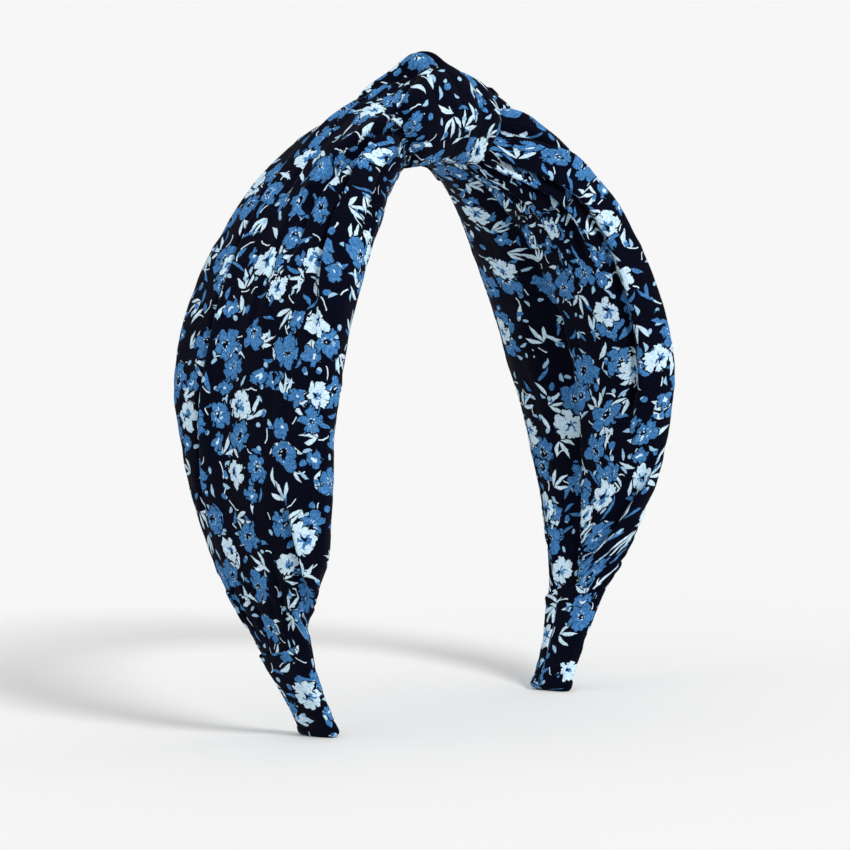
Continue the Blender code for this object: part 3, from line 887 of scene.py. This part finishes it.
# Patches in the inks, as Nodes.patches takes them.
PETAL_PATCHES = (1.3, 3.0, 0.7, 3.2, -1.1)
FLECKS = (4.5, 1.0, 0.5, 6.0, -4.0)
PALE_PATCHES = (1.6, 2.0, 0.6, 3.0, -1.3)
WORN_PATCHES = (1.9, 3.0, 0.65, 1.6, -0.75)

THREAD_MM = 0.42


def flower(n, x, y, rand, radius_mm, vary_mm, petals, notch):
    """A flower's distance field, negative inside, with the distance from its middle and the angle."""
    r = n.length(x, y)
    angle = n.math("ARCTAN2", y, x)
    lobe = n.math("POWER", n.absolute(n.math("COSINE", n.mul(angle, petals / 2))), 0.45)
    lobe = n.scaled(lobe, 1 - notch, notch)
    nick = n.math("POWER", n.absolute(n.math("COSINE", n.mul(angle, petals))), 6.0)
    nick = n.scaled(nick, -0.08, 1.0)
    size = n.scaled(rand[1], vary_mm, radius_mm - vary_mm / 2)
    uneven = n.scaled(n.math("SINE", n.add(angle, n.mul(rand[2], 20.0))), 0.16, 1.0)
    reach = n.mul(n.mul(n.mul(lobe, nick), uneven), size)
    return n.sub(r, reach), r, angle


def leaf(n, x, y, length_mm, width_mm, bend):
    """A pointed leaf's distance field, along x about its middle."""
    t = n.math("DIVIDE", x, length_mm)
    curve = n.mul(n.mul(t, t), bend)
    belly = n.mul(n.scaled(n.mul(t, t), -1.0, 1.0), width_mm)
    return n.sub(n.absolute(n.add(y, curve)), belly)


def beside_ray(n, angle, rays):
    """The angle from the nearest of several even rays, as a part of the step between them."""
    return n.sub(n.math("FRACT", n.scaled(angle, rays / (2 * math.pi), 0.5)), 0.5)


def paint_stems(n, colour, place, ink):
    """Thin curved stems, each the top of a ring."""
    x, y, rand = n.cells(place, STEMS)
    ring = n.absolute(n.sub(n.length(x, n.add(y, 3.0)), 3.6))
    half_length = n.scaled(rand[1], 1.3, 0.9)
    stem = n.most(n.sub(ring, 0.15), n.sub(n.absolute(x), half_length))
    stem = n.most(stem, n.mul(y, -1.0))
    return n.paint(stem, colour, LIGHT)


def paint_leaves(n, colour, place, ink):
    """Single leaves in two sizes, some of each blue."""
    for strewn, length, width, wider, bend, share, pale_below, pale in (
            (SHORT_LEAVES, 1.2, 0.40, 0.3, 0.35, 0.60, 0.66, PALE),
            (LONG_LEAVES, 2.4, 0.42, 0.5, 0.5, 0.58, 0.60, ink["pale"])):
        x, y, rand = n.cells(place, strewn)
        shape = leaf(n, x, y, n.scaled(rand[1], 0.9, length), n.scaled(rand[2], wider, width), bend)
        leaf_ink = n.mix(n.above(rand[1], pale_below), pale, ink["blue"])
        colour = n.paint(n.some(shape, rand[2], share), colour, leaf_ink)
    return colour


def paint_sprigs(n, colour, place, ink):
    """Sprigs: a long leaf with one on each side of it, out of one foot."""
    x, y, rand = n.cells(place, SPRIGS)
    x = n.add(x, 2.9)
    fork = n.scaled(rand[1], 0.4, 0.40)
    side_x, side_y = n.turned(x, n.absolute(y), fork)
    side_leaf = leaf(n, n.sub(side_x, 2.9), side_y, 2.3, n.scaled(rand[2], 0.25, 0.46), 0.3)
    middle_leaf = leaf(n, n.sub(x, 3.6), y, 2.9, n.scaled(rand[1], 0.3, 0.32), 0.35)
    sprig = n.some(n.math("MINIMUM", side_leaf, middle_leaf), rand[2], 0.78)
    return n.paint(sprig, colour, ink["pale"])


def paint_buds(n, colour, place, ink):
    """Round buds, some of them half pale and half blue."""
    x, y, rand = n.cells(place, BUDS)
    bud = n.sub(n.length(x, n.mul(y, 1.5)), n.scaled(rand[1], 0.5, 0.70))
    bud = n.some(bud, rand[2], 0.58)
    pale_half = n.math("LESS_THAN", n.add(x, n.mul(n.sub(rand[1], 0.55), 4.0)), 0.0)
    return n.paint(bud, colour, n.mix(pale_half, ink["blue"], PALE))


def paint_small_flowers(n, colour, place, ink):
    """Small blue flowers with a pale eye."""
    x, y, rand = n.cells(place, SMALL_FLOWERS)
    shape, r, _ = flower(n, x, y, rand, 2.4, 0.8, 5, 0.45)
    shape = n.apart(n.some(shape, rand[2], 0.42), place, SMALL_FLOWERS, 0.2)
    petals = n.inside(shape)
    colour = n.paint(n.sub(shape, 0.4), colour, ink["ground"])
    colour = n.mix(petals, colour, ink["blue"])
    return n.mix(n.mul(n.inside(n.sub(r, 0.5)), petals), colour, LIGHT)


def paint_blue_flowers(n, colour, place, ink):
    """Blue flowers with a ring of pale dots round a dark eye, and a pale speck in it."""
    x, y, rand = n.cells(place, BLUE_FLOWERS)
    shape, r, angle = flower(n, x, y, rand, 4.1, 1.2, 5, 0.42)
    shape = n.apart(n.some(shape, rand[2], 0.64), place, BLUE_FLOWERS, 0.25)
    petals = n.inside(shape)
    dots, ring_mm = 7, 1.45
    round_ring = n.mul(beside_ray(n, angle, dots), 2 * math.pi / dots * ring_mm)
    dot = n.sub(n.length(round_ring, n.sub(r, 1.25)), n.scaled(rand[2], 0.14, 0.17))
    eye = n.sub(n.length(n.mul(x, 0.8), y), n.scaled(rand[1], 0.4, 0.6))
    speck = n.sub(n.length(n.sub(x, 0.3), y), 0.22)
    colour = n.paint(n.sub(shape, CLEAR_MM), colour, ink["ground"])
    colour = n.mix(petals, colour, ink["blue"])
    colour = n.paint(eye, colour, ink["ground"])
    colour = n.mix(n.mul(n.inside(dot), petals), colour, LIGHT)
    return n.mix(n.mul(n.inside(speck), petals), colour, LIGHT)


def paint_pale_flowers(n, colour, place, ink):
    """Pale flowers with a scalloped edge and a streaked blue middle."""
    x, y, rand = n.cells(place, PALE_FLOWERS)
    shape, r, angle = flower(n, x, y, rand, 3.8, 1.2, 6, 0.60)
    streaks = 5
    off_streak = n.absolute(n.mul(n.mul(beside_ray(n, angle, streaks), 2 * math.pi / streaks), r))
    streak = n.most(n.sub(off_streak, 0.42), n.sub(r, n.scaled(rand[1], 0.9, 1.2)))
    eye = n.sub(n.length(n.sub(x, 0.5), n.mul(y, 1.4)), 0.7)
    colour = n.paint(n.sub(shape, CLEAR_MM), colour, ink["ground"])
    colour = n.paint(shape, colour, ink["pale"])
    colour = n.paint(streak, colour, ink["blue"])
    return n.paint(eye, colour, ink["ground"])


def uneven_inks(n, cloth_mm):
    """The inks and the ground, each with its own unevenness."""
    blue = n.mix(n.patches(cloth_mm, *PETAL_PATCHES), DEEP_BLUE, BLUE)
    blue = n.mix(n.mul(n.patches(cloth_mm, *FLECKS), 0.55), blue, PALE)
    pale = n.mix(n.patches(cloth_mm, *PALE_PATCHES), LIGHT, PALE)
    ground = n.mix(n.patches(cloth_mm, *WORN_PATCHES), GROUND, GROUND_WORN)
    return {"blue": blue, "pale": pale, "ground": ground}


def floral_cotton(name):
    """Dark woven cotton with an all-over print of small blue and pale flowers, leaves, buds and stems."""
    material, n, shader = new_material(name)
    uv = n.nodes.new("ShaderNodeUVMap")
    uv.uv_map = "cloth"
    cloth_mm = n.scale(uv.outputs[0], 1 / MM)
    drifts = [n.drift(cloth_mm, scale) for scale in DRIFT_SCALES]
    ink = uneven_inks(n, cloth_mm)
    colour = ink["ground"]
    for amounts, layers in (
            (LEAVES_DRIFT, (paint_stems, paint_leaves, paint_sprigs, paint_buds)),
            (FLOWERS_DRIFT, (paint_small_flowers, paint_blue_flowers, paint_pale_flowers))):
        place = cloth_mm
        for drift, amount in zip(drifts, amounts):
            place = n.vector("ADD", place, n.scale(drift, amount))
        for paint in layers:
            colour = paint(n, colour, place, ink)

    # The weave: threads over and under, with slubs, and the mottle of ink on it. The weave also darkens the
    # colour in its hollows and lightens it on the thread crowns: painted shade and painted light, in step
    # with its bump.
    across, along, _ = n.split(cloth_mm)
    turns_per_mm = 2 * math.pi / THREAD_MM
    warp = n.math("SINE", n.mul(across, turns_per_mm))
    weft = n.math("SINE", n.mul(along, turns_per_mm))
    weave = n.scaled(n.mul(warp, weft), 0.5, 0.5)
    slub = n.noise(n.combine(n.mul(across, 0.35), n.mul(along, 2.6)), 0.9, 2.0, 0.6)
    broad_mottle = n.scaled(n.noise(cloth_mm, 0.30, 2.0, 0.5), 0.3, 0.47)
    mottle = n.scaled(n.noise(cloth_mm, 3.6, 2.0, 0.8), 0.75, broad_mottle)
    # The ink's mottle, times the weave's painted shade in its hollows and painted light on its crowns.
    shade = n.mul(mottle, n.scaled(weave, 0.36, 0.82))
    n.plug(shader.inputs["Base Color"], n.scale(colour, shade))
    n.plug(shader.inputs["Normal"], n.bump(n.scaled(slub, 1.4, weave), 0.35, 0.12 * MM))
    n.plug(shader.inputs["Roughness"], n.scaled(slub, 0.16, 0.70))
    shader.inputs["Sheen Weight"].default_value = 0.015
    shader.inputs["Sheen Roughness"].default_value = 0.45
    shader.inputs["Specular IOR Level"].default_value = 0.03
    return material


# ---- the other materials

def thread_material():
    """Dark twisted sewing thread."""
    material, n, shader = new_material("sewing_thread_twist")
    place = n.nodes.new("ShaderNodeTexCoord").outputs["Object"]
    x, y, z = n.split(n.scale(place, 1 / MM))
    twist = n.math("SINE", n.mul(n.add(n.add(x, z), n.mul(y, 2.0)), 16.0))
    # The twist's stripes: painted shade in the grooves between the plies and painted light on their ridges,
    # in step with the bump.
    shade = n.scaled(twist, 0.3, 0.7)
    n.plug(shader.inputs["Base Color"], n.mix(shade, linear(14, 12, 20), linear(40, 38, 54)))
    n.plug(shader.inputs["Normal"], n.bump(twist, 0.5, 0.05 * MM))
    n.plug(shader.inputs["Roughness"], n.scaled(shade, 0.2, 0.45))
    return material


def plastic_material():
    """Black moulded plastic with fine flow marks."""
    material, n, shader = new_material("band_plastic_moulded")
    place = n.nodes.new("ShaderNodeTexCoord").outputs["Object"]
    grain = n.noise(place, 900.0, 3.0, dimensions="3D")
    n.plug(shader.inputs["Base Color"], n.mix(grain, linear(22, 22, 25), linear(36, 36, 40)))
    n.plug(shader.inputs["Roughness"], n.scaled(grain, 0.2, 0.36))
    n.plug(shader.inputs["Normal"], n.bump(grain, 0.15, 0.05 * MM))
    return material


def give(obj, material):
    """The object's only material."""
    obj.data.materials.clear()
    obj.data.materials.append(material)


def give_node(name, material):
    """A carried-over CAD node's material, set on its object's slots."""
    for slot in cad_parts[name].material_slots:
        slot.link = "OBJECT"
        slot.material = material


# ---- assembly

# The stretch beside the knot, by distance from the crown. assemble works out the band's middle points there
# and uses them no further.
BENDS_OVER = (12 * MM, 34 * MM)


def assemble():
    """Every piece with its material and which CAD nodes it stands for, and what the knot, the sleeves and the
    stitches move with.
    """
    cotton = floral_cotton("floral_cotton")
    thread, plastic = thread_material(), plastic_material()
    knot = build_wrap()
    give(knot, cotton)
    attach(knot, "crown")
    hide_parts("knot_wrap")
    for label, side, seed, folds in (("left", -1, 7, LEFT_FOLDS), ("right", 1, 23, RIGHT_FOLDS)):
        arm = f"{label}_arm"
        drape = build_drape(label, side, seed, folds)
        give(drape, cotton)
        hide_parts(f"drape_{label}", f"knot_gather_{label}")
        start, end = (tuple(beside_band(side, at, 0.0, 0.0)) for at in BENDS_OVER)
        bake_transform(drape)
        facing = build_facing(label, side, seed + 1)
        give(facing, cotton)
        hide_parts(f"facing_{label}", *(["facing_crown"] if side < 0 else []))
        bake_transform(facing)
        sleeve = build_sleeve(label, side, seed + 2)
        give(sleeve, cotton)
        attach(sleeve, arm)
        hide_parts(f"tip_sleeve_{label}")
        seam = build_seam(label, side)
        give(seam, thread)
        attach(seam, arm)
        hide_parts(f"seam_thread_{label}")
    for label, y in (("front", -5 * MM), ("back", 4 * MM)):
        tack = build_tack(label, y)
        give(tack, thread)
        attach(tack, "crown")
        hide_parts(f"knot_tack_{label}")
    for name in ("band_crown", "band_arm_left", "band_arm_right"):
        give_node(name, plastic)


# ---- camera, floor and light

CAMERA_TURN = math.radians(47.2)
CAMERA_TILT = math.radians(5.7)
CAMERA_AWAY = 1.6
CAMERA_ROLL = math.radians(-2.2)
AIM_HEIGHT = 0.0750
AIM_RIGHT = -0.0004
LENS_MM = 262.5

FLOOR_SIZE = 300.0
FLOOR_GREY = 0.86
SUN_FROM = Vector((-0.22, -0.77, 0.60))
SUN_STRENGTH = 1.83
SUN_SOFTNESS = math.radians(13)
SKY_STRENGTH = 0.74


def add_camera():
    level = math.cos(CAMERA_TILT)
    look = Vector((math.sin(CAMERA_TURN) * level, math.cos(CAMERA_TURN) * level, -math.sin(CAMERA_TILT)))
    data = bpy.data.cameras.new("camera")
    data.lens = LENS_MM
    data.sensor_width = 36
    data.clip_end = 400
    made = placed("camera", data)
    facing = look.to_track_quat("-Z", "Y").to_matrix()
    aim = Vector((0, 0, AIM_HEIGHT)) + facing.col[0] * AIM_RIGHT
    made.location = aim - look * CAMERA_AWAY
    made.rotation_euler = (facing @ Matrix.Rotation(CAMERA_ROLL, 3, "Z")).to_euler()
    bpy.context.scene.camera = made


def add_floor():
    half = FLOOR_SIZE / 2
    corners = [(-half, -half, 0), (half, -half, 0), (half, half, 0), (-half, half, 0)]
    made = smooth_mesh("floor", corners, [(0, 1, 2, 3)])
    pale, _, shader = new_material("floor_paper")
    shader.inputs["Base Color"].default_value = (FLOOR_GREY, FLOOR_GREY, FLOOR_GREY, 1)
    shader.inputs["Roughness"].default_value = 0.9
    shader.inputs["Specular IOR Level"].default_value = 0.1
    give(made, pale)


def add_light():
    world = bpy.data.worlds.new("studio")
    world.use_nodes = True
    background = world.node_tree.nodes["Background"]
    background.inputs["Color"].default_value = (1, 1, 1, 1)
    background.inputs["Strength"].default_value = SKY_STRENGTH
    bpy.context.scene.world = world
    data = bpy.data.lights.new("key", "SUN")
    data.energy = SUN_STRENGTH
    data.angle = SUN_SOFTNESS
    made = placed("key", data)
    made.rotation_euler = SUN_FROM.to_track_quat("Z", "Y").to_euler()


assemble()
add_camera()
add_floor()
add_light()
bpy.context.scene.view_settings.view_transform = "Standard"
